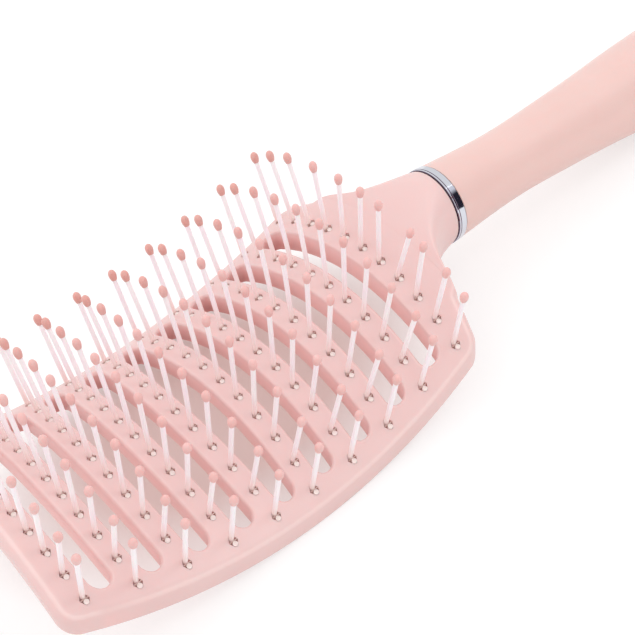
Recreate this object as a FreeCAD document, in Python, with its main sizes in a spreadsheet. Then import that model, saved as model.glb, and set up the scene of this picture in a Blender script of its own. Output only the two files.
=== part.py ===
import FreeCAD, Part
import Sketcher
import math
import os

# Detangling brush with an arched vented head, a collar ring and a round handle.
# +X runs from the head's tip to the handle's end, +Y across the head, +Z up on the pin side.
# Lengths are in millimetres and angles in degrees.

SIZES = {
    # Top face of the head: arched across, dished lengthwise.
    "arch_radius": 70.0,
    "dish_radius": 134.0,
    "dish_offset": 7.9,
    "dish_sweep_angle": 90.0,
    "rib_depth": 5.0,
    # Outline of the head in plan.
    "head_half_width": 37.4,
    "widest_offset": 12.0,
    "side_radius": 465.0,
    "tip_margin": 5.9,
    "tip_corner_radius": 4.0,
    "shoulder_corner_radius": 4.5,
    "shoulder_slant_angle": 17.3,
    "neck_sweep_radius": 13.4,
    "neck_straight": 0.5,
    "head_edge_radius": 2.0,
    "head_under_radius": 0.8,
    # Rows of pins and the slots between their ribs.
    "row_pitch": 11.2,
    "middle_row_gap": 13.0,
    "handle_rows_bow": 1.15,
    "tip_rows_bow": 1.4,
    "column_margin": 3.3,
    "rib_tip_reach": 3.4,
    "rib_handle_reach": 2.8,
    "slot_end_margin": 5.1,
    "slot_edge_radius": 0.9,
    # Neck, spigot and tang behind the head.
    "plate_end_margin": 6.7,
    "collar_margin": 21.8,
    "neck_radius": 10.0,
    "neck_ledge": 0.15,
    "handle_axis_height": 13.2,
    "spigot_radius": 8.7,
    "tang_radius": 5.8,
    "tang_length": 32.0,
    # Collar ring.
    "ring_width": 2.9,
    "ring_radius": 10.2,
    "ring_chamfer": 0.25,
    "ring_seam": 0.35,
    "ring_lip": 0.5,
    "ring_groove_width": 0.24,
    "ring_groove_depth": 0.12,
    # Handle.
    "handle_length": 106.0,
    "handle_front_radius": 10.05,
    "handle_waist_radius": 8.95,
    "handle_grip_radius": 12.4,
    # Filament with its folded foot, its bead and its anchor.
    "filament_diameter": 1.18,
    "pin_reach": 19.3,
    "stub_height": 0.2,
    "bead_radius": 1.0,
    "bead_top": 1.25,
    "bead_skirt": 1.5,
    "bead_mouth_radius": 0.74,
    "bead_bore_top": 0.2,
    "fold_depth": 1.9,
    "anchor_length": 2.0,
    "anchor_thickness": 0.2,
    "anchor_height": 2.0,
    "anchor_stand": 0.15,
    "notch_reach": 1.15,
    "pin_lean_angle": 2.6,
    "column_tilt_angle": 18.5,
    "first_row_lean_angle": 5.0,
    "first_row_sway_angle": 10.0,
    # Fits, the overrun of cuts, and the fineness of the points that find the resting pose.
    "seat_clearance": 0.05,
    "leg_clearance": 0.03,
    "socket_clearance": 0.1,
    "overrun": 2.0,
    "seat_sampling": 0.1,
}

ROWS_PER_SIDE = 5
COLUMNS_PER_SIDE = 5
# Lateral tilt of the pins from the middle column outward, as shares of column_tilt_angle.
COLUMN_TILT_SHARES = [0.0, 0.29, 0.53, 0.78, 1.0, 0.84]
# Sideways sway of the row nearest the handle, from its -Y end, as shares of first_row_sway_angle.
FIRST_ROW_SWAY_SHARES = [0.1, 0.2, 0.1, -1.0, -0.2, -0.8, -1.0, -0.65, -0.1, -0.4, -0.15]
# Swell of a bead below its widest place, at half the height of its skirt.
SKIRT_SWELL_SHARE = 0.78
# Half height of a bead's upper curve, as shares of its radius and of its top.
EIGHTH_TURN_SHARE = math.sqrt(0.5)
# Half the spread of angles at which the search for the resting pose ends, in radians.
SEAT_ANGLE_SLACK = 0.0000001
# Places that lie on a face lie within this share of the overrun of it.
SLACK_SHARE = 0.02
# The search for the round end of a slot ends within this share of the overrun.
END_SLACK_SHARE = 0.0000001
# Sections of the neck from the plate to the ring, as shares of its length.
NECK_STATION_SHARES = [0.0, 0.1, 0.22, 0.38, 0.58, 0.8, 1.0]
# Handle profile: shares of the length, and shares of the step from the waist to the full grip.
HANDLE_STATION_SHARES = [0.11, 0.22, 0.32, 0.42, 0.52, 0.61, 0.72, 0.82, 0.9, 0.96, 0.99]
HANDLE_GRIP_SHARES = [0.1, 0.0, 0.1, 0.26, 0.45, 0.67, 0.89, 1.0, 0.84, 0.14, -1.1]
# Slope of the neck's underside where it leaves the plate.
NECK_UNDER_SLOPE_SHARE = -1.0
# An arc whose rise is a smaller share of its span than this is drawn straight.
FLAT_SHARE = 0.000001
# Angles of a ring section that stand for the corners of the plate's section.
SIDE_ANGLE = 22.0
TOP_ANGLE = 68.0

doc = FreeCAD.newDocument("detangling_brush")
sheet = doc.addObject("Spreadsheet::Sheet", "Sizes")
for line, (name, value) in enumerate(SIZES.items(), start=1):
    sheet.set("A%d" % line, name)
    sheet.set("B%d" % line, repr(value))
    sheet.setAlias("B%d" % line, name)
doc.recompute()


class Size:
    """An amount held both as a number and as the expression that gives it from the sheet."""

    def __init__(self, value, text):
        self.value = value
        self.text = text

    def combined(self, other, sign, value):
        text = other.text if isinstance(other, Size) else repr(other)
        return Size(value, "(%s %s %s)" % (self.text, sign, text))

    def __add__(self, other):
        return self.combined(other, "+", self.value + number(other))

    def __sub__(self, other):
        return self.combined(other, "-", self.value - number(other))

    def __mul__(self, other):
        return self.combined(other, "*", self.value * number(other))

    def __truediv__(self, other):
        return self.combined(other, "/", self.value / number(other))

    def __neg__(self):
        return self * -1


def number(item):
    return item.value if isinstance(item, Size) else float(item)


S = {name: Size(float(sheet.get(name)), "Sizes.%s" % name) for name in SIZES}
V = {name: S[name].value for name in SIZES}
ZERO = Size(0.0, "0")

# Places along the brush, from the middle between the two groups of rows.
first_row = S["middle_row_gap"] / 2
last_row = first_row + S["row_pitch"] * (ROWS_PER_SIDE - 1)
tip_x = -(last_row + S["tip_margin"])
plate_end_x = last_row + S["plate_end_margin"]
collar_x = last_row + S["collar_margin"]
handle_x = collar_x + S["ring_width"] + S["seat_clearance"]
handle_end_x = handle_x + S["handle_length"]
axis_z = S["handle_axis_height"]


def bind(item, prop, amount):
    item.setExpression(prop, amount.text)


def new_body(name):
    body = doc.addObject("PartDesign::Body", name)
    body.Label = name
    return body


def new_sketch(body, name, role, offset=ZERO):
    """A sketch on one of the body's origin planes, moved along the plane's normal."""
    sketch = body.newObject("Sketcher::SketchObject", name)
    plane = [f for f in body.Origin.OriginFeatures if f.Role == role][0]
    sketch.AttachmentSupport = (plane, [""])
    sketch.MapMode = "FlatFace"
    sketch.AttachmentOffset = FreeCAD.Placement(
        FreeCAD.Vector(0, 0, offset.value), FreeCAD.Rotation()
    )
    if offset is not ZERO:
        bind(sketch, "AttachmentOffset.Base.z", offset)
    return sketch


def spot(across, along):
    return FreeCAD.Vector(number(across), number(along), 0)


def add_chain(sketch, pieces):
    """Lines of two points and arcs of three, each starting where the last one ends."""
    for piece in pieces:
        across = piece[-1] - piece[0]
        if len(piece) == 2 or across.cross(piece[1] - piece[0]).Length < FLAT_SHARE * across.Length ** 2:
            sketch.addGeometry(Part.LineSegment(piece[0], piece[-1]), False)
        else:
            sketch.addGeometry(Part.Arc(piece[0], piece[1], piece[2]), False)


def bound_polygon(sketch, corners):
    """A closed polygon with every corner held by expressions of the sheet."""
    spots = [spot(across, along) for across, along in corners]
    count = len(spots)
    first = sketch.GeometryCount
    for k in range(count):
        sketch.addGeometry(Part.LineSegment(spots[k], spots[(k + 1) % count]), False)
    for k in range(count):
        link = Sketcher.Constraint("Coincident", first + k, 2, first + (k + 1) % count, 1)
        sketch.addConstraint(link)
    for k, (across, along) in enumerate(corners):
        for kind, amount, axis in (("DistanceX", across, -2), ("DistanceY", along, -1)):
            if amount is ZERO:
                sketch.addConstraint(Sketcher.Constraint("PointOnObject", first + k, 1, axis))
                continue
            held = Sketcher.Constraint(kind, -1, 1, first + k, 1, amount.value)
            bind(sketch, "Constraints[%d]" % sketch.addConstraint(held), amount)


def bound_circle(sketch, across, along, radius):
    circle = Part.Circle(spot(across, along), FreeCAD.Vector(0, 0, 1), radius.value)
    at = sketch.addGeometry(circle, False)
    held = sketch.addConstraint(Sketcher.Constraint("Radius", at, radius.value))
    bind(sketch, "Constraints[%d]" % held, radius)
    for kind, amount, axis in (("DistanceX", across, -2), ("DistanceY", along, -1)):
        if amount is ZERO:
            sketch.addConstraint(Sketcher.Constraint("PointOnObject", at, 3, axis))
            continue
        held = sketch.addConstraint(Sketcher.Constraint(kind, -1, 1, at, 3, amount.value))
        bind(sketch, "Constraints[%d]" % held, amount)


def add_axis(sketch, start, end):
    sketch.addGeometry(Part.LineSegment(start, end), True)


def revolve(body, name, sketch, angle):
    turn = body.newObject("PartDesign::Revolution", name)
    turn.Profile = sketch
    turn.ReferenceAxis = (sketch, ["Axis0"])
    turn.Midplane = True
    if isinstance(angle, Size):
        bind(turn, "Angle", angle)
    else:
        turn.Angle = angle
    return turn


def pad(body, name, sketch, length):
    block = body.newObject("PartDesign::Pad", name)
    block.Profile = sketch
    bind(block, "Length", length)
    return block


# Shape of the top face and of the head's outline.


def arch_drop(y, depth=0.0):
    inner = V["arch_radius"] - depth
    return V["arch_radius"] - math.sqrt(inner ** 2 - y ** 2)


def face_z(x, y, depth=0.0):
    """Height of the top face, or of the face that lies depth below it."""
    turn = V["dish_radius"] + arch_drop(y, depth)
    return V["dish_radius"] - math.sqrt(turn ** 2 - (x + V["dish_offset"]) ** 2)


def side_y(x):
    """Half width of the head between its corners."""
    run = x - V["widest_offset"]
    return V["head_half_width"] - V["side_radius"] + math.sqrt(V["side_radius"] ** 2 - run ** 2)


side_centre = FreeCAD.Vector(V["widest_offset"], V["head_half_width"] - V["side_radius"], 0)
sweep_centre_x = collar_x - S["neck_straight"]
sweep_centre_y = V["neck_radius"] + V["neck_sweep_radius"]
slant = math.radians(V["shoulder_slant_angle"])
slant_way = FreeCAD.Vector(-math.sin(slant), math.cos(slant), 0)
slant_inward = FreeCAD.Vector(-math.cos(slant), -math.sin(slant), 0)
sweep_centre = FreeCAD.Vector(sweep_centre_x.value, sweep_centre_y, 0)
slant_foot = sweep_centre + slant_inward * V["neck_sweep_radius"]


def neck_y(x):
    """Half width of the shoulder and neck in plan."""
    if x < slant_foot.x:
        return slant_foot.y + (slant_foot.x - x) / math.tan(slant)
    run = max(sweep_centre.x - x, 0.0)
    return sweep_centre.y - math.sqrt(V["neck_sweep_radius"] ** 2 - run ** 2)


def corner_arc(centre, start, end):
    """Points of the short arc about centre from start to end."""
    middle = (start - centre) + (end - centre)
    middle = centre + middle.normalize() * (start - centre).Length
    return [start, middle, end]


def tip_corner():
    radius = V["tip_corner_radius"]
    x = tip_x.value + radius
    reach = V["side_radius"] - radius
    y = side_centre.y + math.sqrt(reach ** 2 - (x - side_centre.x) ** 2)
    centre = FreeCAD.Vector(x, y, 0)
    on_side = side_centre + (centre - side_centre).normalize() * V["side_radius"]
    return corner_arc(centre, FreeCAD.Vector(tip_x.value, y, 0), on_side)


def shoulder_corner():
    radius = V["shoulder_corner_radius"]
    base = slant_foot + slant_inward * radius - side_centre
    reach = V["side_radius"] - radius
    along = base.dot(slant_way)
    run = -along + math.sqrt(along ** 2 - base.dot(base) + reach ** 2)
    centre = side_centre + base + slant_way * run
    on_side = side_centre + (centre - side_centre).normalize() * V["side_radius"]
    return corner_arc(centre, on_side, centre - slant_inward * radius)


def mirrored(piece):
    return [FreeCAD.Vector(p.x, -p.y, p.z) for p in reversed(piece)]


def plate_outline():
    tip = tip_corner()
    shoulder = shoulder_corner()
    side = [tip[2], FreeCAD.Vector(V["widest_offset"], V["head_half_width"], 0), shoulder[0]]
    end = FreeCAD.Vector(plate_end_x.value, neck_y(plate_end_x.value), 0)
    upper = [tip, side, shoulder, [shoulder[2], end]]
    lower = [mirrored(piece) for piece in reversed(upper)]
    close = [[end, lower[0][0]], [lower[-1][-1], tip[0]]]
    return upper + [close[0]] + lower + [close[1]]


# Rows of pins, numbered from the handle to the tip.
row_places = [last_row - S["row_pitch"] * k for k in range(ROWS_PER_SIDE)]
row_places += [-(first_row + S["row_pitch"] * k) for k in range(ROWS_PER_SIDE)]
row_count = len(row_places)
full_reach_y = V["head_half_width"] - V["column_margin"]


def row_radius(row):
    """Radius of a row's bow, negative where the row bends towards the handle."""
    bow = V["handle_rows_bow"] if row < ROWS_PER_SIDE else -V["tip_rows_bow"]
    return (full_reach_y ** 2 + bow ** 2) / (bow * 2)


def bowed_x(apex_x, radius, y, inset=0.0):
    """Place along the brush, at the lateral place y, of an arc that lies inset within its bow."""
    return apex_x - radius + math.copysign(math.sqrt((radius - inset) ** 2 - y ** 2), radius)


def row_x(row, y):
    """Place along the brush of a bowed row at the lateral place y."""
    return bowed_x(row_places[row].value, row_radius(row), y)


def slot_outline(row):
    """Slot between the ribs of two neighbouring rows, its round ends tangent to its long sides."""
    front_x = row_places[row].value - V["rib_tip_reach"]
    back_x = row_places[row + 1].value + V["rib_handle_reach"]
    front_radius = row_radius(row)
    back_radius = row_radius(row + 1)
    end_y = side_y((front_x + back_x) / 2) - V["slot_end_margin"]
    small = 0.0
    large = front_x - back_x
    while large - small > V["overrun"] * END_SLACK_SHARE:
        radius = (small + large) / 2
        y = end_y - radius
        front_reach = bowed_x(front_x, front_radius, y, radius)
        if front_reach > bowed_x(back_x, back_radius, y, -radius):
            small = radius
        else:
            large = radius
    centre = FreeCAD.Vector(front_reach, y, 0)

    def touch(apex_x, side_radius, inset):
        middle = FreeCAD.Vector(apex_x - side_radius, 0, 0)
        return middle + (centre - middle) * (side_radius / (side_radius - inset))

    front_touch = touch(front_x, front_radius, radius)
    back_touch = touch(back_x, back_radius, -radius)
    end = [front_touch, centre + FreeCAD.Vector(0, radius, 0), back_touch]
    far_end = mirrored(end)
    back = [back_touch, FreeCAD.Vector(back_x, 0, 0), far_end[0]]
    front = [far_end[2], FreeCAD.Vector(front_x, 0, 0), front_touch]
    return [end, back, far_end, front]


# Head: arched plate, slots, neck, spigot and tang in one moulding.
head = new_body("head_moulding")

band = new_sketch(head, "band_section", "YZ_Plane", -S["dish_offset"])
inner_radius = V["arch_radius"] - V["rib_depth"]
reach_angle = math.asin((V["head_half_width"] + V["overrun"]) / inner_radius)


def band_spot(radius, angle):
    return spot(radius * math.sin(angle), radius * math.cos(angle) - V["arch_radius"])


outer = [band_spot(V["arch_radius"], a) for a in (-reach_angle, 0, reach_angle)]
inner = [band_spot(inner_radius, a) for a in (reach_angle, 0, -reach_angle)]
add_chain(band, [outer, [outer[2], inner[0]], inner, [inner[2], outer[0]]])
add_axis(band, spot(-V["head_half_width"], V["dish_radius"]), spot(V["head_half_width"], V["dish_radius"]))
plate = revolve(head, "plate", band, S["dish_sweep_angle"])

trim = new_sketch(head, "plate_outline", "XY_Plane", S["dish_radius"])
far = V["dish_radius"] + V["overrun"]
wide = V["arch_radius"]
frame = [spot(-far, -wide), spot(far, -wide), spot(far, wide), spot(-far, wide)]
add_chain(trim, [[frame[k], frame[(k + 1) % 4]] for k in range(4)])
add_chain(trim, plate_outline())
trimming = head.newObject("PartDesign::Pocket", "outline_cut")
trimming.Profile = trim
trimming.Type = "ThroughAll"
doc.recompute()


def edges_on_face(shape, depth, wanted):
    """Names of the edges that lie on the top face, or depth below it, and pass the test."""
    names = []
    slack = V["overrun"] * SLACK_SHARE
    for at, edge in enumerate(shape.Edges, start=1):
        ends = edge.ParameterRange
        samples = [edge.valueAt(ends[0] + (ends[1] - ends[0]) * k / 4) for k in range(5)]
        heights = [face_z(p.x, p.y, depth) for p in samples]
        if all(abs(p.z - z) < slack for p, z in zip(samples, heights)) and wanted(samples):
            names.append("Edge%d" % at)
    return names


def not_at_plate_end(samples):
    return min(p.x for p in samples) < plate_end_x.value - V["overrun"] * SLACK_SHARE


def inside_rim(samples):
    return max(abs(p.x) for p in samples) < last_row.value


def round_edges(name, feature, names, radius):
    rounding = head.newObject("PartDesign::Fillet", name)
    rounding.Base = (feature, names)
    bind(rounding, "Radius", radius)
    doc.recompute()
    return rounding


edges = edges_on_face(trimming.Shape, 0.0, not_at_plate_end)
rim = round_edges("rim_edge", trimming, edges, S["head_edge_radius"])
edges = edges_on_face(rim.Shape, V["rib_depth"], not_at_plate_end)
under = round_edges("under_edge", rim, edges, S["head_under_radius"])

vents = new_sketch(head, "vent_slots", "XY_Plane", S["dish_radius"])
for row in range(row_count - 1):
    add_chain(vents, slot_outline(row))
venting = head.newObject("PartDesign::Pocket", "vents")
venting.Profile = vents
venting.Type = "ThroughAll"
doc.recompute()
edges = edges_on_face(venting.Shape, 0.0, inside_rim)
softening = round_edges("vent_edges", venting, edges, S["slot_edge_radius"])


def eased(start, end, start_slope, share):
    """A curve from start to end that leaves with a slope and arrives level."""
    run = collar_x.value - plate_end_x.value
    rise = 3 * share ** 2 - 2 * share ** 3
    kick = share ** 3 - 2 * share ** 2 + share
    return start + (end - start) * rise + start_slope * run * kick


def neck_section(x, share, inset):
    """Eight arcs of a section that turns from the plate's end into the collar's circle."""
    half_width = neck_y(x) - inset
    root_x = plate_end_x.value
    dish_run = root_x + V["dish_offset"]
    top_slope = dish_run / math.sqrt(V["dish_radius"] ** 2 - dish_run ** 2)
    under_slope = NECK_UNDER_SLOPE_SHARE
    top = eased(face_z(root_x, 0), axis_z.value + V["neck_radius"], top_slope, share)
    under = eased(face_z(root_x, 0, V["rib_depth"]), axis_z.value - V["neck_radius"], under_slope, share)
    top -= inset
    under += inset
    half_height = (top - under) / 2
    arch_share = (1 - share) ** 2
    blend = share
    corner = {1: V["head_edge_radius"], -1: V["head_under_radius"]}

    def box_spot(side, end, part):
        """part 0 is where the corner leaves the side, 1 its middle, 2 where it meets the face."""
        radius = corner[end]
        turn = math.radians(45.0 * part)
        u = 1 - radius * (1 - math.cos(turn)) / half_width
        v = 1 - radius * (1 - math.sin(turn)) / half_height
        angle = math.radians(SIDE_ANGLE + (TOP_ANGLE - SIDE_ANGLE) * part / 2)
        u = u * (1 - blend) + math.cos(angle) * blend
        v = v * (1 - blend) + math.sin(angle) * blend
        return place(side * u, end * v)

    def place(u, v):
        y = u * half_width
        z = (top + under) / 2 + v * half_height
        drop = face_z(root_x, y) - face_z(root_x, 0)
        under_drop = face_z(root_x, y, V["rib_depth"]) - face_z(root_x, 0, V["rib_depth"])
        z += arch_share * ((1 + v) / 2 * drop + (1 - v) / 2 * under_drop)
        return spot(y, z)

    def corner_piece(side, end):
        return [box_spot(side, end, part) for part in range(3)]

    right_top = corner_piece(1, 1)
    left_top = corner_piece(-1, 1)
    left_under = corner_piece(-1, -1)
    right_under = corner_piece(1, -1)
    return [
        right_top,
        [right_top[2], place(0, 1), left_top[2]],
        left_top[::-1],
        [left_top[0], place(-1, 0), left_under[0]],
        left_under,
        [left_under[2], place(0, -1), right_under[2]],
        right_under[::-1],
        [right_under[0], place(1, 0), right_top[0]],
    ]


neck_stations = []
for share in NECK_STATION_SHARES:
    station = plate_end_x + (collar_x - plate_end_x) * share
    neck_stations.append((station, share, V["neck_ledge"] * (1 - share)))
neck_sketches = []
for k, (station, share, inset) in enumerate(neck_stations, start=1):
    sketch = new_sketch(head, "neck_section_%d" % k, "YZ_Plane", station)
    add_chain(sketch, neck_section(station.value, share, inset))
    neck_sketches.append(sketch)
neck = head.newObject("PartDesign::AdditiveLoft", "neck")
neck.Profile = neck_sketches[0]
neck.Sections = neck_sketches[1:]
doc.recompute()

spigot_sketch = new_sketch(head, "spigot_circle", "YZ_Plane", collar_x)
bound_circle(spigot_sketch, ZERO, axis_z, S["spigot_radius"])
spigot = pad(head, "spigot", spigot_sketch, S["ring_width"])
tang_sketch = new_sketch(head, "tang_circle", "YZ_Plane", collar_x + S["ring_width"])
bound_circle(tang_sketch, ZERO, axis_z, S["tang_radius"])
tang = pad(head, "tang", tang_sketch, S["tang_length"])
head.Tip = tang
doc.recompute()

# Collar ring round the spigot.
ring = new_body("collar_ring")
ring_sketch = new_sketch(ring, "ring_section", "XZ_Plane")
ring_inner = axis_z + S["spigot_radius"] + S["seat_clearance"]
ring_outer = axis_z + S["ring_radius"]
ring_start = collar_x + S["ring_seam"]
ring_end = collar_x + S["ring_width"]
lip_end = ring_start + S["ring_lip"]
bound_polygon(
    ring_sketch,
    [
        (ring_start, ring_inner),
        (ring_end, ring_inner),
        (ring_end, ring_outer - S["ring_chamfer"]),
        (ring_end - S["ring_chamfer"], ring_outer),
        (lip_end + S["ring_groove_width"], ring_outer),
        (lip_end + S["ring_groove_width"] / 2, ring_outer - S["ring_groove_depth"]),
        (lip_end, ring_outer),
        (ring_start + S["ring_chamfer"], ring_outer),
        (ring_start, ring_outer - S["ring_chamfer"]),
    ],
)
add_axis(ring_sketch, spot(collar_x, axis_z), spot(handle_end_x, axis_z))
revolve(ring, "ring_band", ring_sketch, 360)

# Handle with the socket that takes the tang.
handle = new_body("handle")
handle_sketch = new_sketch(handle, "handle_section", "XZ_Plane")
grip_step = V["handle_grip_radius"] - V["handle_waist_radius"]
profile = [spot(handle_x, axis_z + S["handle_front_radius"])]
for share, grip in zip(HANDLE_STATION_SHARES, HANDLE_GRIP_SHARES):
    radius = V["handle_waist_radius"] + grip_step * grip
    profile.append(spot(handle_x + S["handle_length"] * share, axis_z.value + radius))
profile.append(spot(handle_end_x, axis_z))
skin = Part.BSplineCurve()
skin.interpolate(Points=profile)
handle_sketch.addGeometry(skin, False)
socket_radius = S["tang_radius"] + S["socket_clearance"]
socket_end = collar_x + S["ring_width"] + S["tang_length"] + S["socket_clearance"]
inside = [
    spot(handle_end_x, axis_z),
    spot(socket_end, axis_z),
    spot(socket_end, axis_z + socket_radius),
    spot(handle_x, axis_z + socket_radius),
    profile[0],
]
add_chain(handle_sketch, [[inside[k], inside[k + 1]] for k in range(4)])
add_axis(handle_sketch, spot(collar_x, axis_z), spot(handle_end_x, axis_z))
revolve(handle, "handle_turn", handle_sketch, 360)
doc.recompute()

# One filament: folded double at its foot, a long leg and a stub that ends just above the face.
leg_offset = (S["filament_diameter"] + S["anchor_thickness"]) / 2 + S["leg_clearance"]
filament_radius = S["filament_diameter"] / 2
filament_top = S["pin_reach"] + S["bead_bore_top"] - S["seat_clearance"]
fold_bottom = S["fold_depth"] + leg_offset + filament_radius
pin_form = new_body("pin_form")
spine = new_sketch(pin_form, "pin_spine", "YZ_Plane")
down = [spot(leg_offset, filament_top), spot(leg_offset, -S["fold_depth"])]
fold = [down[1], spot(0, -(S["fold_depth"] + leg_offset)), spot(-leg_offset, -S["fold_depth"])]
add_chain(spine, [down, fold, [fold[2], spot(-leg_offset, S["stub_height"])]])
pin_circle = new_sketch(pin_form, "pin_circle", "XY_Plane", filament_top)
bound_circle(pin_circle, ZERO, leg_offset, filament_radius)
pin_sweep = pin_form.newObject("PartDesign::AdditivePipe", "pin_sweep")
pin_sweep.Profile = pin_circle
pin_sweep.Spine = (spine, [])

# The bead moulded over the filament's end.
bead_form = new_body("bead_form")
bead_sketch = new_sketch(bead_form, "bead_section", "XZ_Plane", -leg_offset)
bead_bore = filament_radius + S["seat_clearance"]
bead_z = S["pin_reach"]
bead_spots = [
    spot(0, bead_z + S["bead_top"]),
    spot(V["bead_radius"] * EIGHTH_TURN_SHARE, bead_z.value + V["bead_top"] * EIGHTH_TURN_SHARE),
    spot(S["bead_radius"], bead_z),
    spot(
        V["bead_mouth_radius"] + (V["bead_radius"] - V["bead_mouth_radius"]) * SKIRT_SWELL_SHARE,
        bead_z.value - V["bead_skirt"] / 2,
    ),
    spot(S["bead_mouth_radius"], bead_z - S["bead_skirt"]),
]
bead_skin = Part.BSplineCurve()
bead_skin.interpolate(
    Points=bead_spots,
    InitialTangent=bead_spots[2] - spot(0, bead_z),
    FinalTangent=bead_spots[4] - bead_spots[3],
)
bead_sketch.addGeometry(bead_skin, False)
bore_spots = [
    bead_spots[4],
    spot(bead_bore, bead_z - S["bead_skirt"]),
    spot(bead_bore, bead_z + S["bead_bore_top"]),
    spot(0, bead_z + S["bead_bore_top"]),
    bead_spots[0],
]
add_chain(bead_sketch, [[bore_spots[k], bore_spots[k + 1]] for k in range(4)])
add_axis(bead_sketch, spot(0, 0), spot(0, bead_z))
revolve(bead_form, "bead_turn", bead_sketch, 360)

# The flat wire anchor driven between the two legs.
anchor_form = new_body("anchor_form")
anchor_sketch = new_sketch(anchor_form, "anchor_section", "XY_Plane", S["anchor_stand"] - S["anchor_height"])
half_long = S["anchor_length"] / 2
half_thick = S["anchor_thickness"] / 2
bound_polygon(
    anchor_sketch,
    [
        (-half_long, -half_thick),
        (half_long, -half_thick),
        (half_long, half_thick),
        (-half_long, half_thick),
    ],
)
pad(anchor_form, "anchor_pad", anchor_sketch, S["anchor_height"])

# The hole in the head hugs the two legs and has a notch at each end of the anchor.
socket_form = new_body("socket_form")
well_depth = fold_bottom + S["seat_clearance"]
well_sketch = new_sketch(socket_form, "well_outline", "XY_Plane", -well_depth)
hug_radius = filament_radius.value + V["seat_clearance"]
notch_run = math.hypot(V["notch_reach"], leg_offset.value)
notch_turn = math.atan2(leg_offset.value, -V["notch_reach"]) - math.asin(hug_radius / notch_run)
tangent_length = math.sqrt(notch_run ** 2 - hug_radius ** 2)
notch = [spot(V["notch_reach"] * side, 0) for side in (1, -1)]
hug_x = V["notch_reach"] + tangent_length * math.cos(notch_turn)
hug_y = tangent_length * math.sin(notch_turn)
hug_top = leg_offset.value + hug_radius
hug = [[spot(hug_x * side, hug_y * end) for side in (1, -1)] for end in (1, -1)]
add_chain(
    well_sketch,
    [
        [notch[0], hug[0][0]],
        [hug[0][0], spot(0, hug_top), hug[0][1]],
        [hug[0][1], notch[1]],
        [notch[1], hug[1][1]],
        [hug[1][1], spot(0, -hug_top), hug[1][0]],
        [hug[1][0], notch[0]],
    ],
)
pad(socket_form, "well", well_sketch, well_depth + S["overrun"])
doc.recompute()


# A long leg stands to one side of its hole, and leans back so that its bead is over the hole.
over_hole_angle = math.degrees(math.atan2(leg_offset.value, V["pin_reach"]))


def pin_place(row, column):
    """Where a filament leaves the top face, with its own X along the head and its Z up the filament."""
    side = side_y(row_places[row].value) - V["column_margin"]
    y = side * column / COLUMNS_PER_SIDE
    x = row_x(row, y)
    tilt = math.copysign(V["column_tilt_angle"] * COLUMN_TILT_SHARES[abs(column)], column) - over_hole_angle
    lean = V["pin_lean_angle"]
    if row == 0:
        tilt += V["first_row_sway_angle"] * FIRST_ROW_SWAY_SHARES[column + COLUMNS_PER_SIDE]
        lean = V["first_row_lean_angle"]
    up = FreeCAD.Vector(-math.tan(math.radians(lean)), math.tan(math.radians(tilt)), 1).normalize()
    along = FreeCAD.Vector(1, 0, 0)
    along = (along - up * along.dot(up)).normalize()
    turn = FreeCAD.Rotation(along, up.cross(along), up, "ZXY")
    return FreeCAD.Placement(FreeCAD.Vector(x, y, face_z(x, y)), turn)


columns = range(COLUMNS_PER_SIDE, -COLUMNS_PER_SIDE - 1, -1)
row_pin_places = [[pin_place(row, column) for column in columns] for row in range(row_count)]


def gathered(name, form, places):
    """A group of equal solids, one at each place."""
    group = doc.addObject("Part::Feature", name)
    group.Label = name
    group.Shape = Part.makeCompound([form.Shape.transformed(place.toMatrix(), True) for place in places])
    return group


sockets = gathered("pin_sockets", socket_form, [place for row in row_pin_places for place in row])
head_frame = doc.addObject("Part::Cut", "head_frame")
head_frame.Base = head
head_frame.Tool = sockets
head_frame.Label = "head_frame"

nodes = {"head_frame": head_frame, "collar_ring": ring, "handle": handle}
for row, places in enumerate(row_pin_places, start=1):
    for name, form in (("pins_row", pin_form), ("ball_tips_row", bead_form), ("anchors_row", anchor_form)):
        label = "%s_%02d" % (name, row)
        nodes[label] = gathered(label, form, places)


# Resting pose: pins up, on the two rims of the head and on the end of the handle.


def points_of(item):
    return item.Shape.tessellate(V["seat_sampling"])[0]


def turned(points, angle):
    """Points turned about Y so that a positive angle lowers the handle."""
    rise = math.sin(angle)
    level = math.cos(angle)
    return [(p.x * level + p.z * rise, p.y, p.z * level - p.x * rise) for p in points]


def lowest(points, angle):
    return min(p[2] for p in turned(points, angle))


rim_points = points_of(under)
handle_points = points_of(handle)
low = 0.0
high = math.atan2(V["arch_radius"], V["handle_length"])
while high - low > SEAT_ANGLE_SLACK:
    middle = (low + high) / 2
    if lowest(rim_points, middle) < lowest(handle_points, middle):
        low = middle
    else:
        high = middle
rest_angle = (low + high) / 2
bead_points = points_of(bead_form)
tip_points = [place.multVec(p) for row in row_pin_places for place in row for p in bead_points]
every_point = turned(rim_points + handle_points + tip_points, rest_angle)
spans = [[min(p[k] for p in every_point), max(p[k] for p in every_point)] for k in range(3)]
seat = FreeCAD.Placement(
    FreeCAD.Vector(-sum(spans[0]) / 2, -sum(spans[1]) / 2, -spans[2][0]),
    FreeCAD.Rotation(FreeCAD.Vector(0, 1, 0), math.degrees(rest_angle)),
)
for item in nodes.values():
    item.Placement = seat
doc.recompute()

for item in doc.Objects:
    troubled = [word for word in item.State if word in ("Invalid", "Error")]
    if troubled:
        raise RuntimeError("%s is %s" % (item.Name, troubled))
os.makedirs("parts", exist_ok=True)
for label, item in nodes.items():
    shape = item.Shape
    if shape.isNull() or not shape.isValid():
        raise RuntimeError("%s has no valid shape" % label)
    shape.exportStep(os.path.join("parts", label + ".step"))
    print(label, len(shape.Solids), "solids", round(shape.Volume, 2), "mm3")
print("rest angle", round(math.degrees(rest_angle), 3), "seat", [round(v, 3) for v in seat.Base])
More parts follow.
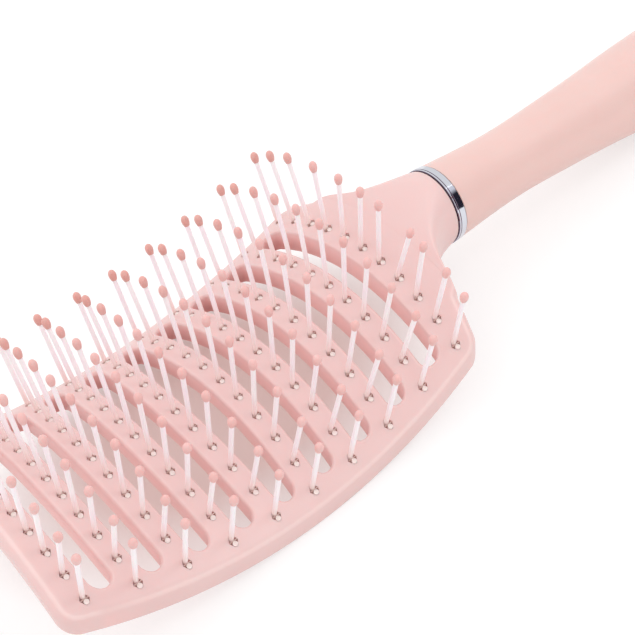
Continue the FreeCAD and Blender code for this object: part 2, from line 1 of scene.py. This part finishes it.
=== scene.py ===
# %% [markdown]
# # A vented detangling brush
# The brush lies on its back with its pins up. The solids were built beforehand and are loaded as a
# fixed frame, so every piece already stands in its place, in metres. This script gives them their
# smooth surfaces, their finishes, the light of a small photo studio and the camera.

# %% Load the frame
import bpy
import bmesh
import math
from mathutils import Matrix, Vector


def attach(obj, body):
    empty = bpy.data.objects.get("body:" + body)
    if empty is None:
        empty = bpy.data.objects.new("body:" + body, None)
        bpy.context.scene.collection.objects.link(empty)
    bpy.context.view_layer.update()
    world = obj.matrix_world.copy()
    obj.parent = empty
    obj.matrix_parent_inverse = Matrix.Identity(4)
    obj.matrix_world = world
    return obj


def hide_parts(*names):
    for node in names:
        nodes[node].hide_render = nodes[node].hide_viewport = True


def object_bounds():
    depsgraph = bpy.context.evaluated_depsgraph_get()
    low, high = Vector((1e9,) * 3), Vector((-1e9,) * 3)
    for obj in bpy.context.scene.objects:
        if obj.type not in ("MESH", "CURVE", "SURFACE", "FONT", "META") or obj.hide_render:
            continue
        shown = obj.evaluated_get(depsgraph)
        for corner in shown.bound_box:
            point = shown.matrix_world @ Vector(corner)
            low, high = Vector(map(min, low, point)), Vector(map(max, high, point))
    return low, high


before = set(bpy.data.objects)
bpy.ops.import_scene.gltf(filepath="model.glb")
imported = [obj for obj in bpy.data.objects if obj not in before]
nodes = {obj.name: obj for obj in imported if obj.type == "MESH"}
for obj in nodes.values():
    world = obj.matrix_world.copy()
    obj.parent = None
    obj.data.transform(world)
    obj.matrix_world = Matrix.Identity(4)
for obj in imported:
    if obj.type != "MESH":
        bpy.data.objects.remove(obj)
cad_low, cad_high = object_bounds()
MM = 0.001
print(len(nodes), "solids, box", [round(v, 4) for v in cad_high - cad_low])

# %% [markdown]
# ## Camera
# The photograph looks down on the head's tip from in front, about 45 degrees above the floor, with
# the camera rolled a little so that the brush runs up to the right. The place and the three axes
# were found by fitting the rows of pin holes, so the camera is set from them directly.

# %% Camera
CAMERA_PLACE = Vector((-0.146906, -0.201080, 0.250063))
CAMERA_RIGHT = Vector((0.752701, -0.638350, -0.161066))
CAMERA_UP = Vector((0.550898, 0.476740, 0.685004))
SENSOR_WIDTH = 36.0
FOCAL_LENGTH = 78.85
NEAREST = 0.01
FARTHEST = 20.0

camera_data = bpy.data.cameras.new("studio_camera")
camera_data.sensor_fit = "HORIZONTAL"
camera_data.sensor_width = SENSOR_WIDTH
camera_data.lens = FOCAL_LENGTH
camera_data.clip_start = NEAREST
camera_data.clip_end = FARTHEST
camera = bpy.data.objects.new("studio_camera", camera_data)
bpy.context.scene.collection.objects.link(camera)
back = CAMERA_RIGHT.cross(CAMERA_UP).normalized()
right = CAMERA_RIGHT.normalized()
turn = Matrix((right, back.cross(right), back)).transposed().to_4x4()
camera.matrix_world = Matrix.Translation(CAMERA_PLACE) @ turn
bpy.context.scene.camera = camera
print("camera looks down", round(math.degrees(math.asin(back.z)), 1), "degrees")

# %% [markdown]
# ## Finishes
# Every finish is made of nodes and reads Object coordinates, which are the brush's own metres. Two
# small helpers keep that readable. `Wire` stands for one output socket, and arithmetic on it adds
# the Math nodes. `Finish` makes a material and, through its one method `node`, every node in it.

# %% Helpers for materials


class Wire:
    """One output socket of a material. Sums and products with it become Math nodes."""

    def __init__(self, finish, socket):
        self.finish = finish
        self.socket = socket

    def maths(self, operation, first, second):
        return self.finish.node("ShaderNodeMath", {"operation": operation}, {0: first, 1: second})

    def __add__(self, other):
        return self.maths("ADD", self, other)

    def __radd__(self, other):
        return self.maths("ADD", other, self)

    def __sub__(self, other):
        return self.maths("SUBTRACT", self, other)

    def __rsub__(self, other):
        return self.maths("SUBTRACT", other, self)

    def __mul__(self, other):
        return self.maths("MULTIPLY", self, other)

    def __rmul__(self, other):
        return self.maths("MULTIPLY", other, self)

    def __pow__(self, other):
        return self.maths("POWER", self, other)

    def root(self):
        return self.maths("SQRT", self, 0.0)

    def size(self):
        return self.maths("ABSOLUTE", self, 0.0)


class Finish:
    """A procedural material with its Principled shader."""

    def __init__(self, name, **constants):
        self.material = bpy.data.materials.new(name)
        self.material.use_nodes = True
        self.tree = self.material.node_tree
        self.shader = self.tree.nodes["Principled BSDF"]
        self.set(**constants)
        self.place = self.node("ShaderNodeTexCoord", out="Object")

    def feed(self, socket, value):
        """A wire is linked to the socket, and anything else becomes its value."""
        if isinstance(value, Wire):
            self.tree.links.new(value.socket, socket)
        else:
            socket.default_value = value

    def set(self, **values):
        for name, value in values.items():
            self.feed(self.shader.inputs[name.replace("_", " ")], value)

    def node(self, kind, settings=None, sockets=None, out=0):
        made = self.tree.nodes.new(kind)
        for name, value in (settings or {}).items():
            setattr(made, name, value)
        for name, value in (sockets or {}).items():
            self.feed(made.inputs[name], value)
        return Wire(self, made.outputs[out])

    def axes(self, wire):
        """The three parts of a vector."""
        parts = self.node("ShaderNodeSeparateXYZ", {}, {"Vector": wire}).socket.node
        return [Wire(self, socket) for socket in parts.outputs]

    def noise(self, scale, detail=2.0, roughness=0.5):
        """Soft noise with about `scale` swells to the metre."""
        return self.node(
            "ShaderNodeTexNoise", {},
            {"Vector": self.place, "Scale": scale, "Detail": detail, "Roughness": roughness},
        )

    def spread(self, wire, low, high, start=0.0, end=1.0):
        """The wire's range low to high laid out over start to end, and held there."""
        return self.node(
            "ShaderNodeMapRange", {"clamp": True},
            {"Value": wire, "From Min": low, "From Max": high, "To Min": start, "To Max": end},
        )

    def blend(self, share, first, second):
        """The first colour, with a share of the second. The colours are a Mix node's sockets 6 and 7."""
        return self.node("ShaderNodeMix", {"data_type": "RGBA"}, {0: share, 6: first, 7: second}, out=2)

    def bump(self, height, distance, strength=1.0):
        return self.node(
            "ShaderNodeBump", {},
            {"Height": height, "Distance": distance, "Strength": strength}, out="Normal",
        )


def colour(red, green, blue):
    """Screen values from 0 to 255 as the linear colour that a shader takes."""
    linear = []
    for value in (red, green, blue):
        share = value / 255
        linear.append(share / 12.92 if share <= 0.04045 else ((share + 0.055) / 1.055) ** 2.4)
    return (*linear, 1.0)


def grey(level):
    """A linear grey."""
    return (level, level, level, 1.0)


print("helpers ready")

# %% [markdown]
# ## Soft-touch pink
# The head and the handle are moulded plastic with a soft-touch coat: matt, with a broad dim sheen and
# no sharp highlights. The coat varies very slightly in tone over a few centimetres, is a touch
# rougher in the patches where it has been handled, and has a grain far finer than a millimetre. A
# little light passes under the surface, which keeps its shadows warm.

# %% Soft-touch pink
TONE_PATCHES = 38.0
TONE_CONTRAST = (0.3, 0.7)
HANDLED_PATCHES = 120.0
HANDLED_CONTRAST = (0.35, 0.65)
COAT_GRAIN = 2600.0
COAT_GRAIN_HEIGHT = 0.012 * MM
COAT_GRAIN_STRENGTH = 0.5
COAT_ROUGHNESS = 0.44
COAT_HANDLED = 0.06
COAT_GRAIN_SHARE = 0.03


def soft_touch(name, light, deep):
    finish = Finish(
        name,
        Specular_IOR_Level=0.35,
        Sheen_Weight=0.12,
        Sheen_Roughness=0.4,
        Sheen_Tint=colour(255, 236, 232),
        Coat_Weight=0.35,
        Coat_Roughness=0.24,
        Subsurface_Weight=0.2,
        Subsurface_Radius=(1.0, 0.3, 0.25),
        Subsurface_Scale=2.0 * MM,
    )
    cloud = finish.noise(TONE_PATCHES, 3.0, 0.55)
    finish.tone = finish.blend(finish.spread(cloud, *TONE_CONTRAST), light, deep)
    finish.set(Base_Color=finish.tone)
    grain = finish.noise(COAT_GRAIN, 2.0, 0.6)
    handled = finish.spread(finish.noise(HANDLED_PATCHES, 3.0), *HANDLED_CONTRAST)
    finish.set(Roughness=COAT_ROUGHNESS + COAT_HANDLED * handled + COAT_GRAIN_SHARE * grain)
    finish.set(Normal=finish.bump(grain, COAT_GRAIN_HEIGHT, COAT_GRAIN_STRENGTH))
    return finish


head_pink = soft_touch("soft_touch_head", colour(241, 206, 203), colour(238, 201, 198))
handle_pink = soft_touch("soft_touch_handle", colour(242, 205, 198), colour(239, 200, 193))
print(head_pink.material.name, handle_pink.material.name)

# %% [markdown]
# ## Places on the brush
# Some tints follow the brush's own form, so a shader has to know where on the brush a point lies.
# The brush was laid down by a turn of a few degrees, and `stood_up` takes that turn back. The top
# face of the head is an arch across, swept along a wide circle, so a point's depth below it is the
# height of that circle less the point's own height.

# %% Places on the brush
REST_ANGLE = math.radians(5.778)
SEAT = Vector((-62.686, 0.005, 15.990)) * MM
ARCH_RADIUS = 70.0 * MM
DISH_RADIUS = 134.0 * MM
DISH_OFFSET = 7.9 * MM
COLLAR_X = 73.1 * MM
RING_FRONT_X = 73.45 * MM


def stood_up(x, y, z):
    """A direction or an offset as it was in the brush's own frame, before the brush was laid down."""
    along = x * math.cos(REST_ANGLE) - z * math.sin(REST_ANGLE)
    return along, y, x * math.sin(REST_ANGLE) + z * math.cos(REST_ANGLE)


def brush_place(finish):
    """Place along and across the brush and height above its own base plane."""
    place = finish.axes(finish.place)
    return stood_up(place[0] - SEAT.x, place[1], place[2] - SEAT.z)


def below_face(along, across, height):
    """Depth below the head's top face."""
    sweep = (DISH_RADIUS + ARCH_RADIUS) - (ARCH_RADIUS ** 2 - across * across).root()
    run = along + DISH_OFFSET
    return DISH_RADIUS - (sweep * sweep - run * run).root() - height


def face_agreement(finish, along, across):
    """1 where a surface faces as the top face does at that place, 0 where it stands upright to it."""
    facing = stood_up(*finish.axes(finish.node("ShaderNodeNewGeometry", out="Normal")))
    arch_slope = across * ((ARCH_RADIUS ** 2 - across * across).root() ** -1.0)
    sweep_x = (along + DISH_OFFSET) * (-1.0 / DISH_RADIUS)
    sweep_z = (1.0 - sweep_x * sweep_x).root()
    length = (1.0 + arch_slope * arch_slope).root() ** -1.0
    return (facing[0] * sweep_x + facing[1] * arch_slope + facing[2] * sweep_z) * length


print("top face: arch", ARCH_RADIUS / MM, "mm, dish", DISH_RADIUS / MM, "mm")

# %% [markdown]
# ## Painted shade and highlights of the head
# Light that falls into a slot is passed from wall to wall, and comes out redder each time. So the walls
# get a painted shade of deeper pink that starts in the round of the slot's edge and grows with the
# depth, and is deepest low down on the far side, where the least light comes in. A very faint painted
# glow stands for the light that reaches the walls through the plastic.
#
# The round of the outer rim gets a painted highlight, a thin pale line. That line fades out along the
# neck, where the round widens, and is weak on the edges of the slots. Last, the joint between the neck
# and the collar gets a dark seam of painted shade.

# %% Painted shade and highlights of the head
WALL_DEPTH = (0.0 * MM, 2.0 * MM)
WALL_TURN = (0.42, 0.9)
WALL_SHADE_SHARE = 0.85
# Painted shade: the deeper pink of the slot walls, deeper still low on the far side.
WALL_SHADE_PINK = colour(244, 194, 191)
WALL_FAR_SHADE_PINK = colour(212, 136, 132)
# Painted glow on the slot walls.
WALL_PAINTED_GLOW = 0.06
WALL_PAINTED_GLOW_PINK = colour(240, 220, 212)
FAR_ACROSS = (0.0 * MM, 26.0 * MM)
FAR_DEPTH = (1.0 * MM, 4.5 * MM)
SLOTS_ACROSS = (33.0 * MM, 34.5 * MM)
SLOTS_ALONG = (48.0 * MM, 50.0 * MM)
# Painted highlight along the round of the rim.
CREASE_FROM = (0.66, 0.86)
CREASE_TO = (0.94, 0.995)
CREASE_HIGHLIGHT_SHARE = 0.6
CREASE_LOST_IN_SLOTS = 0.6
CREASE_LEFT_ON_NECK = 0.12
CREASE_HIGHLIGHT_PINK = colour(255, 226, 222)
NECK_ALONG = (52.0 * MM, 64.0 * MM)
# Painted shade in the seam between the neck and the collar.
SEAM_ALONG = (COLLAR_X + 0.02 * MM, COLLAR_X + 0.06 * MM)
SEAM_SHADE_DARK = colour(96, 72, 92)

along, across, height = brush_place(head_pink)
depth = below_face(along, across, height)
level = face_agreement(head_pink, along, across)
slots_across = 1.0 - head_pink.spread(across.size(), *SLOTS_ACROSS)
slots_along = 1.0 - head_pink.spread(along.size(), *SLOTS_ALONG)
in_slots = slots_across * slots_along

# Painted shade on the slot walls, deepest low on the far side.
steep = 1.0 - head_pink.spread(level, *WALL_TURN)
shade = head_pink.spread(depth, *WALL_DEPTH) * steep * in_slots * WALL_SHADE_SHARE
far_down_shade = head_pink.spread(across, *FAR_ACROSS) * head_pink.spread(depth, *FAR_DEPTH)
wall_shade = head_pink.blend(far_down_shade, WALL_SHADE_PINK, WALL_FAR_SHADE_PINK)

# Painted highlight on the rim's round, faded on the neck and in the slots.
crease_highlight = head_pink.spread(level, *CREASE_FROM) * (1.0 - head_pink.spread(level, *CREASE_TO))
crease_highlight = crease_highlight * head_pink.spread(along, *NECK_ALONG, 1.0, CREASE_LEFT_ON_NECK)
crease_highlight = crease_highlight * (1.0 - in_slots * CREASE_LOST_IN_SLOTS)
lit = head_pink.blend(crease_highlight * CREASE_HIGHLIGHT_SHARE, head_pink.tone, CREASE_HIGHLIGHT_PINK)
shaded_and_lit = head_pink.blend(shade, lit, wall_shade)
# Painted shade in the seam.
seam_shade = head_pink.spread(along, *SEAM_ALONG)
head_pink.set(Base_Color=head_pink.blend(seam_shade, shaded_and_lit, SEAM_SHADE_DARK))
# Painted glow on the slot walls.
head_pink.set(Emission_Color=head_pink.blend(shade, grey(0.0), WALL_PAINTED_GLOW_PINK))
head_pink.set(Emission_Strength=WALL_PAINTED_GLOW)
print("slot walls reach their deep pink", WALL_DEPTH[1] / MM, "mm down")

# %% [markdown]
# ## Chrome
# The collar ring is a bright plated band. It is nearly a mirror, so what it shows is the studio. Its own
# part of the finish is a faint haze of wiping marks. The front edge and the groove get a painted dark
# reflection, for the plastic beside them that the plating mirrors.

# %% Chrome
GROOVE_PLACE = 0.62 * MM
GROOVE_REACH = (0.08 * MM, 0.16 * MM)
FRONT_REACH = (0.1 * MM, 0.2 * MM)
PLATING = colour(214, 216, 224)
# Painted dark reflections on the front edge and in the groove.
FRONT_DARK_REFLECTION = colour(104, 84, 106)
GROOVE_DARK_REFLECTION = colour(118, 98, 118)
WIPING_MARKS = 900.0
WIPING_CONTRAST = (0.4, 0.75)
WIPING_HEIGHT = 0.004 * MM
WIPING_STRENGTH = 0.4
MIRROR_ROUGHNESS = 0.06
WIPED_ROUGHNESS = 0.08

chrome = Finish("collar_chrome", Metallic=1.0)
ring_along = brush_place(chrome)[0] - RING_FRONT_X
# Painted dark reflection at the front edge and in the groove.
front_edge = 1.0 - chrome.spread(ring_along, *FRONT_REACH)
in_groove = 1.0 - chrome.spread((ring_along - GROOVE_PLACE).size(), *GROOVE_REACH)
plating_with_dark_reflection = chrome.blend(front_edge, PLATING, FRONT_DARK_REFLECTION)
chrome.set(Base_Color=chrome.blend(in_groove, plating_with_dark_reflection, GROOVE_DARK_REFLECTION))
haze = chrome.noise(WIPING_MARKS, 4.0, 0.7)
chrome.set(Roughness=MIRROR_ROUGHNESS + WIPED_ROUGHNESS * chrome.spread(haze, *WIPING_CONTRAST))
chrome.set(Normal=chrome.bump(haze, WIPING_HEIGHT, WIPING_STRENGTH))
print(chrome.material.name)

# %% [markdown]
# ## Nylon pins
# The pins are cloudy nylon filament, whitish with a hint of lilac, and glossy in thin lines. Light
# enters them, and a faint painted glow stands for it. Near the foot a painted pink stands for the head's
# light that they take in, and fades out upwards.

# %% Nylon pins
NYLON_CLOUDS = 90.0
NYLON_CONTRAST = (0.35, 0.65)
NYLON_ROUGHNESS = 0.3
NYLON_CLOUD_ROUGHNESS = 0.08
NYLON_WHITE = colour(252, 246, 249)
NYLON_MILK = colour(251, 241, 246)
# Painted glow for the light that enters the pins.
NYLON_PAINTED_GLOW = colour(255, 238, 250)
NYLON_PAINTED_GLOW_STRENGTH = 0.05
# Painted pink light from the head, near the pins' feet.
FOOT_ABOVE = (0.6 * MM, 9.0 * MM)
FOOT_SHARE = 0.8
FOOT_PAINTED_PINK_LIGHT = colour(240, 216, 207)

nylon = Finish(
    "pin_nylon",
    IOR=1.5,
    Subsurface_Weight=0.6,
    Subsurface_Radius=(1.0, 0.8, 0.9),
    Subsurface_Scale=1.0 * MM,
)
cloudy = nylon.noise(NYLON_CLOUDS, 2.0)
milky = nylon.blend(nylon.spread(cloudy, *NYLON_CONTRAST), NYLON_WHITE, NYLON_MILK)
above = below_face(*brush_place(nylon)) * -1.0
foot = 1.0 - nylon.spread(above, *FOOT_ABOVE)
# Painted pink light at the pins' feet.
nylon.set(Base_Color=nylon.blend(foot * FOOT_SHARE, milky, FOOT_PAINTED_PINK_LIGHT))
# Painted glow.
nylon.set(Emission_Color=NYLON_PAINTED_GLOW, Emission_Strength=NYLON_PAINTED_GLOW_STRENGTH)
nylon.set(Roughness=NYLON_ROUGHNESS + NYLON_CLOUD_ROUGHNESS * cloudy)
print(nylon.material.name)

# %% [markdown]
# ## Beads
# The beads on the pins' ends are pink resin, smooth and a little glossy. Those on the far side of the
# head stand before the bright ground, and get a painted shade, deeper and browner than the near ones.

# %% Beads
BEAD_CLOUDS = 260.0
BEAD_CONTRAST = (0.3, 0.7)
BEAD_ROUGHNESS = 0.28
BEAD_CLOUD_ROUGHNESS = 0.1
BEAD_LIGHT = colour(245, 199, 195)
BEAD_DEEP = colour(241, 190, 185)
# Painted shade on the far beads.
BEAD_FAR_SHADE = colour(228, 170, 160)
BEAD_FAR_ACROSS = (8.0 * MM, 34.0 * MM)
BEAD_FAR_SHADE_SHARE = 0.8

bead = Finish(
    "bead_resin",
    IOR=1.5,
    Specular_IOR_Level=0.28,
    Subsurface_Weight=0.25,
    Subsurface_Radius=(1.0, 0.4, 0.35),
    Subsurface_Scale=1.0 * MM,
)
tone = bead.noise(BEAD_CLOUDS, 2.0)
resin = bead.blend(bead.spread(tone, *BEAD_CONTRAST), BEAD_LIGHT, BEAD_DEEP)
# Painted shade, growing towards the far side.
bead_far_shade = bead.spread(bead.axes(bead.place)[1], *BEAD_FAR_ACROSS, 0.0, BEAD_FAR_SHADE_SHARE)
bead.set(Base_Color=bead.blend(bead_far_shade, resin, BEAD_FAR_SHADE))
bead.set(Roughness=BEAD_ROUGHNESS + BEAD_CLOUD_ROUGHNESS * tone)
print(bead.material.name)

# %% [markdown]
# ## Steel anchors
# Each pin is folded over a short length of flat wire that is driven into its hole. Only the wire's edge
# and the dark of the hole show. A faint painted warm glow stands for the light that the pale plastic
# round the hole passes on to the wire.

# %% Steel
DRAWN_LINES = 1500.0
DRAWN_HEIGHT = 0.006 * MM
DRAWN_STRENGTH = 0.5
STEEL_ROUGHNESS = 0.28
DRAWN_ROUGHNESS = 0.2

steel = Finish(
    "anchor_steel",
    Base_Color=colour(196, 174, 168),
    Metallic=0.8,
    # Painted warm glow on the wire.
    Emission_Color=colour(190, 150, 142),
    Emission_Strength=0.24,
)
drawn = steel.noise(DRAWN_LINES, 3.0)
steel.set(Roughness=STEEL_ROUGHNESS + DRAWN_ROUGHNESS * drawn)
steel.set(Normal=steel.bump(drawn, DRAWN_HEIGHT, DRAWN_STRENGTH))
print(steel.material.name)

# %% [markdown]
# ## Smooth skins
# A loaded solid is made of loose triangles, so it can't be shaded smoothly as it is. A copy of each
# one is joined up at its shared corners, and is then shaded smooth wherever two faces meet at a
# shallow angle. The copy stands for the solid and takes its finish.

# %% Smooth skins
SMOOTH_ANGLE = math.radians(32.0)
JOIN_DISTANCE = 0.0005 * MM
FINISHES = {
    "head_frame": head_pink,
    "handle": handle_pink,
    "collar_ring": chrome,
    "pins_row": nylon,
    "ball_tips_row": bead,
    "anchors_row": steel,
}


def finish_of(name):
    return [finish.material for start, finish in FINISHES.items() if name.startswith(start)][0]


def smooth_skin(name):
    skin = bpy.data.objects.new(name + "_skin", nodes[name].data.copy())
    bpy.context.scene.collection.objects.link(skin)
    shape = bmesh.new()
    shape.from_mesh(skin.data)
    bmesh.ops.remove_doubles(shape, verts=shape.verts, dist=JOIN_DISTANCE)
    for face in shape.faces:
        face.smooth = True
    for edge in shape.edges:
        edge.smooth = len(edge.link_faces) == 2 and edge.calc_face_angle() < SMOOTH_ANGLE
    shape.to_mesh(skin.data)
    shape.free()
    skin.data.materials.clear()
    skin.data.materials.append(finish_of(name))
    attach(skin, "root")
    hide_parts(name)
    return skin


skins = {name: smooth_skin(name) for name in sorted(nodes)}
face_counts = {name: len(skin.data.polygons) for name, skin in skins.items()}
largest = max(face_counts, key=face_counts.get)
print(len(skins), "skins,", sum(face_counts.values()), "faces, most in", largest, face_counts[largest])

# %% [markdown]
# ## Floor
# The floor is white paper. Seen by the camera, or mirrored in the chrome, it is lifted to white so
# that the picture has a clean ground, and it still darkens where the brush keeps the light off. For
# light that bounces it is plain matt paper.
#
# The paper seen through the slots lies under the head, in dim light that has turned pink between the
# ribs. There the lift is weaker and pink, a painted shade in an oval patch that fades out towards the
# head's outline. It is shifted away from the camera, because the slots are looked through at a slant.

# %% Floor
FLOOR_HALF = 3.0
MATT_PAPER = (0.86, 0.85, 0.84, 1.0)
SEEN_PAPER = grey(0.5)
OPEN_LIGHT = grey(0.56)
# Painted shade: the dim pink lift of the patch under the head.
UNDER_HEAD_SHADE_LIFT = (0.33, 0.22, 0.2, 1.0)
PATCH_ALONG = -56.0 * MM
PATCH_ACROSS = 6.0 * MM
PATCH_HALF_LENGTH = 67.0 * MM
PATCH_HALF_WIDTH = 40.0 * MM
PATCH_FADE = (0.5, 1.0)
SEEN_RAYS = ("Is Camera Ray", "Is Glossy Ray", "Is Transmission Ray")

paper = Finish("paper_floor")
floor_place = paper.axes(paper.place)
off_along = (floor_place[0] - PATCH_ALONG) * (1.0 / PATCH_HALF_LENGTH)
off_across = (floor_place[1] - PATCH_ACROSS) * (1.0 / PATCH_HALF_WIDTH)
away = (off_along * off_along + off_across * off_across).root()
# Painted shade under the head, fading out to the open lift.
lift_with_shade_patch = paper.blend(paper.spread(away, *PATCH_FADE), UNDER_HEAD_SHADE_LIFT, OPEN_LIGHT)
matt = paper.node("ShaderNodeBsdfDiffuse", {}, {"Color": MATT_PAPER})
shaded = paper.node("ShaderNodeBsdfDiffuse", {}, {"Color": SEEN_PAPER})
glow = paper.node("ShaderNodeEmission", {}, {"Color": lift_with_shade_patch, "Strength": 1.0})
lifted = paper.node("ShaderNodeAddShader", {}, {0: shaded, 1: glow})
camera_ray, glossy_ray, through_ray = [paper.node("ShaderNodeLightPath", out=ray) for ray in SEEN_RAYS]
is_seen = camera_ray + glossy_ray + through_ray
surface = paper.node("ShaderNodeMixShader", {}, {0: is_seen, 1: matt, 2: lifted})
paper.feed(paper.tree.nodes["Material Output"].inputs["Surface"], surface)


def stage_object(name, shape, material):
    """A mesh of the studio, which isn't part of the brush."""
    mesh = bpy.data.meshes.new(name)
    shape.to_mesh(mesh)
    shape.free()
    mesh.materials.append(material)
    made = bpy.data.objects.new(name, mesh)
    bpy.context.scene.collection.objects.link(made)
    return made


ground = bmesh.new()
bmesh.ops.create_grid(ground, x_segments=1, y_segments=1, size=FLOOR_HALF)
bmesh.ops.translate(ground, verts=ground.verts, vec=(0.0, 0.0, cad_low.z))
floor = stage_object("floor", ground, paper.material)
print("floor at", round(cad_low.z, 4))

# %% [markdown]
# ## Light
# Most of the light is the white room itself, the same from all sides, which gives the soft shadows
# of the photograph. Two soft boxes, a large one and a small one, add a little direction. The room
# is pure white to the camera, and lights the brush slightly less than that.

# %% Light
ROOM_LIGHT = 0.93
WHITE = 1.0

world = bpy.data.worlds.new("studio_world")
bpy.context.scene.world = world
world.use_nodes = True
background = world.node_tree.nodes["Background"]
background.inputs["Color"].default_value = grey(WHITE)
seen_by = world.node_tree.nodes.new("ShaderNodeLightPath")
sky_light = world.node_tree.nodes.new("ShaderNodeMapRange")
sky_light.inputs["To Min"].default_value = ROOM_LIGHT
sky_light.inputs["To Max"].default_value = WHITE
world.node_tree.links.new(seen_by.outputs["Is Camera Ray"], sky_light.inputs["Value"])
world.node_tree.links.new(sky_light.outputs["Result"], background.inputs["Strength"])
bpy.context.scene.view_settings.view_transform = "Standard"


def soft_box(name, spot, target, side, power, mirrored):
    """A square lamp at a spot, turned to its target. The chrome shows it only if it is mirrored."""
    lamp = bpy.data.lights.new(name, "AREA")
    lamp.shape = "SQUARE"
    lamp.size = side
    lamp.energy = power
    box = bpy.data.objects.new(name, lamp)
    box.location = spot
    box.rotation_euler = (Vector(target) - Vector(spot)).to_track_quat("-Z", "Y").to_euler()
    box.visible_glossy = mirrored
    bpy.context.scene.collection.objects.link(box)


soft_box("key_box", (-0.35, 0.55, 0.9), (0.0, 0.0, 0.0), side=0.8, power=1.4, mirrored=False)
soft_box("top_box", (0.40, -0.32, 0.84), (-0.03, 0.0, 0.02), side=0.35, power=0.8, mirrored=True)
print("lights set")

# %% [markdown]
# ## Dark screen
# The chrome shows a dark band with a sharp lower edge: a dark screen that stands on the floor at
# the camera's right. Only mirror reflections see it, so it takes no light from the brush. It fades
# to the room's white towards its top.

# %% Dark screen
SCREEN_RADIUS = 0.9
SCREEN_HEIGHT = 1.0
SCREEN_START = math.radians(-78.0)
SCREEN_END = math.radians(-8.0)
SCREEN_STEPS = 28
SCREEN_FADE = (0.62, 0.82)
SCREEN_DARK = colour(44, 40, 52)
SCREEN_LIGHT = colour(236, 236, 244)

screen_finish = Finish("dark_screen", Base_Color=grey(0.0), Specular_IOR_Level=0.0, Roughness=1.0)
fade = screen_finish.spread(screen_finish.axes(screen_finish.place)[2], *SCREEN_FADE)
screen_finish.set(Emission_Color=screen_finish.blend(fade, SCREEN_DARK, SCREEN_LIGHT))
screen_finish.set(Emission_Strength=1.0)
screen_shape = bmesh.new()
lower = []
upper = []
for step in range(SCREEN_STEPS + 1):
    angle = SCREEN_START + (SCREEN_END - SCREEN_START) * step / SCREEN_STEPS
    side = Vector((math.cos(angle), math.sin(angle), 0.0)) * SCREEN_RADIUS
    lower.append(screen_shape.verts.new((side.x, side.y, cad_low.z)))
    upper.append(screen_shape.verts.new((side.x, side.y, SCREEN_HEIGHT)))
for step in range(SCREEN_STEPS):
    screen_shape.faces.new((lower[step], upper[step], upper[step + 1], lower[step + 1]))
screen = stage_object("dark_screen", screen_shape, screen_finish.material)
screen.visible_camera = False
screen.visible_diffuse = False
screen.visible_transmission = False
screen.visible_shadow = False
print("screen of", SCREEN_STEPS, "panels")
